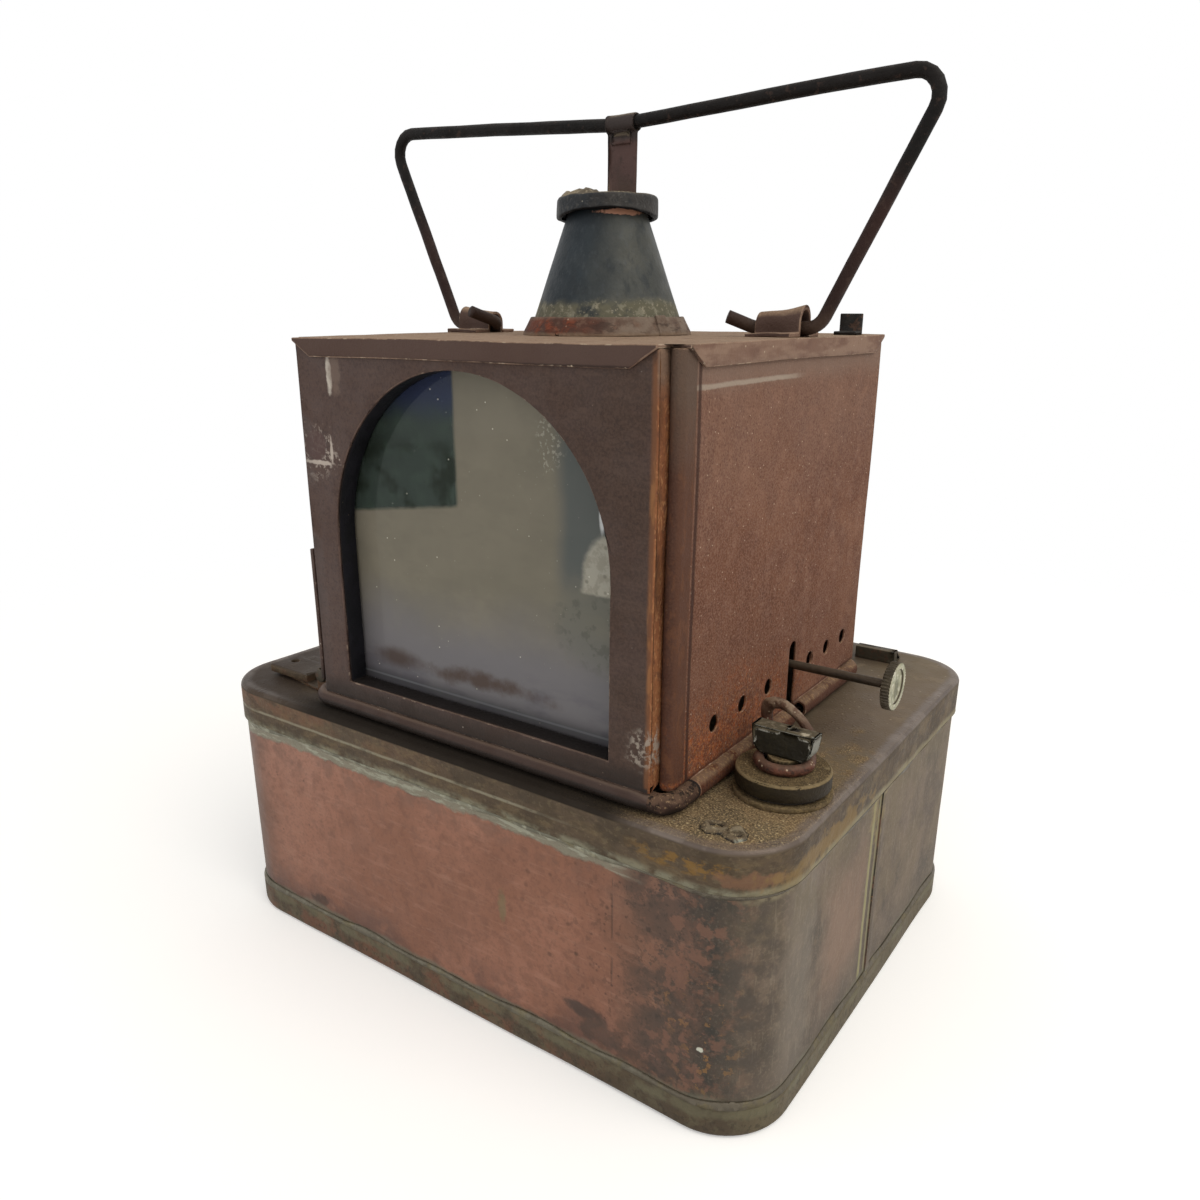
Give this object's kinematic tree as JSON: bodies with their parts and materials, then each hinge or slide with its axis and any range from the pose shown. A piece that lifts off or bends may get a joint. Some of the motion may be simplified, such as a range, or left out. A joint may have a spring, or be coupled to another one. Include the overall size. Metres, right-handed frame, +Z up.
{
  "type": "railway signal lamp",
  "caption": "Oil-burning signal lamp: sheet-metal lantern case with arched window, flue and wire handle, hinged on a flat copper oil tank with filler and wick winder.",
  "frame": {"origin": "centre of the tank's flat underside, which is the bottom centre of the whole lamp", "axes": "+X to the right along the front, towards the wick winder; +Y from the window to the back; +Z up"},
  "size_m": [0.19, 0.151, 0.2398],
  "materials": {
    "copper_sheet": "worn, tarnished copper sheet",
    "patinated_copper": "brown patina with dust",
    "solder": "dull grey solder",
    "old_brass": "dull brass",
    "dark_brass": "dark brass with bright edges",
    "copper_wire": "dull copper wire",
    "dark_iron": "dark oxidised iron",
    "nickel_knob": "worn plated brass",
    "cotton_wick": "woven cotton",
    "lamp_glass": "clear, smoked glass",
    "window_glass": "clear flat glass with dust",
    "leather_washer": "oiled leather",
    "maroon_iron": "worn maroon-brown paint",
    "rusty_iron": "old paint with rust",
    "dusty_iron": "paint under dust",
    "sooty_copper": "blue-black soot",
    "handle_iron": "brown iron wire"
  },
  "bodies": {
    "tank": {"tank_wall": "copper_sheet", "tank_top": "patinated_copper", "tank_bottom": "patinated_copper", "tank_solder": "solder", "filler_neck": "old_brass", "keeper_eye": "copper_wire", "solder_scar": "solder", "catch_lug": "dark_iron", "hinge_bracket_front": "patinated_copper", "hinge_bracket_rear": "patinated_copper", "hinge_pin_front": "dark_iron", "hinge_pin_rear": "dark_iron", "burner_collar": "old_brass", "burner_shell": "old_brass", "wick_tube": "old_brass", "gallery_prongs": "old_brass", "spindle_bushes": "old_brass"},
    "winder": {"winder_spindle": "dark_iron", "winder_knob": "nickel_knob", "wick_wheels": "old_brass"},
    "wick": {"wick": "cotton_wick"},
    "chimney": {"chimney_glass": "lamp_glass"},
    "filler_seal": {"filler_washer": "leather_washer", "keeper_wire": "copper_wire"},
    "filler_cap": {"filler_cap": "dark_brass", "filler_wing": "dark_brass"},
    "lantern": {"front_panel": "maroon_iron", "window_liner": "dark_iron", "window_glass": "window_glass", "glass_channel_left": "maroon_iron", "glass_channel_right": "maroon_iron", "glass_channel_bottom": "maroon_iron", "front_bead": "maroon_iron", "rear_bead": "rusty_iron", "right_wall": "rusty_iron", "left_wall": "rusty_iron", "back_wall": "rusty_iron", "roof": "dusty_iron", "flue_collar": "rusty_iron", "flue_cone": "sooty_copper", "flue_cap": "sooty_copper", "cap_legs": "sooty_copper", "draught_baffle": "sooty_copper", "handle_wire": "handle_iron", "handle_strap": "handle_iron", "strap_rivet": "dark_iron", "saddle_left": "dusty_iron", "saddle_right": "dusty_iron", "hinge_strap_front": "maroon_iron", "hinge_strap_rear": "maroon_iron", "strap_rivets": "dark_iron", "roof_tab": "dark_iron"}
  },
  "joints": [
    {"name": "lantern_hinge", "type": "hinge", "parent": "tank", "child": "lantern", "pos_m": [-0.05785, -0.0135, 0.0836], "axis": [0, -1, 0], "range_deg": [0, 95]},
    {"name": "winder_turn", "type": "hinge", "parent": "tank", "child": "winder", "pos_m": [0.0069, -0.0034, 0.0955], "axis": [-1, 0, 0], "range_deg": [-65, 100]},
    {"name": "wick_lift", "type": "slide", "parent": "tank", "child": "wick", "axis": [0, 0, 1], "range_m": [-0.0038, 0.0059]},
    {"name": "chimney_lift", "type": "slide", "parent": "tank", "child": "chimney", "axis": [0, 0, 1], "range_m": [0, 0.03]},
    {"name": "filler_rise", "type": "slide", "parent": "tank", "child": "filler_seal", "axis": [0, 0, 1], "range_m": [0, 0.0065]},
    {"name": "filler_turn", "type": "hinge", "parent": "filler_seal", "child": "filler_cap", "pos_m": [0.0814, -0.0414, 0.0804], "axis": [0, 0, 1], "range_deg": [0, 1170]}
  ],
  "couplings": [
    {"joint": "winder_turn", "follows": "wick_lift", "rad_per_m": 294.12},
    {"joint": "filler_turn", "follows": "filler_rise", "rad_per_m": 3141.6}
  ]
}
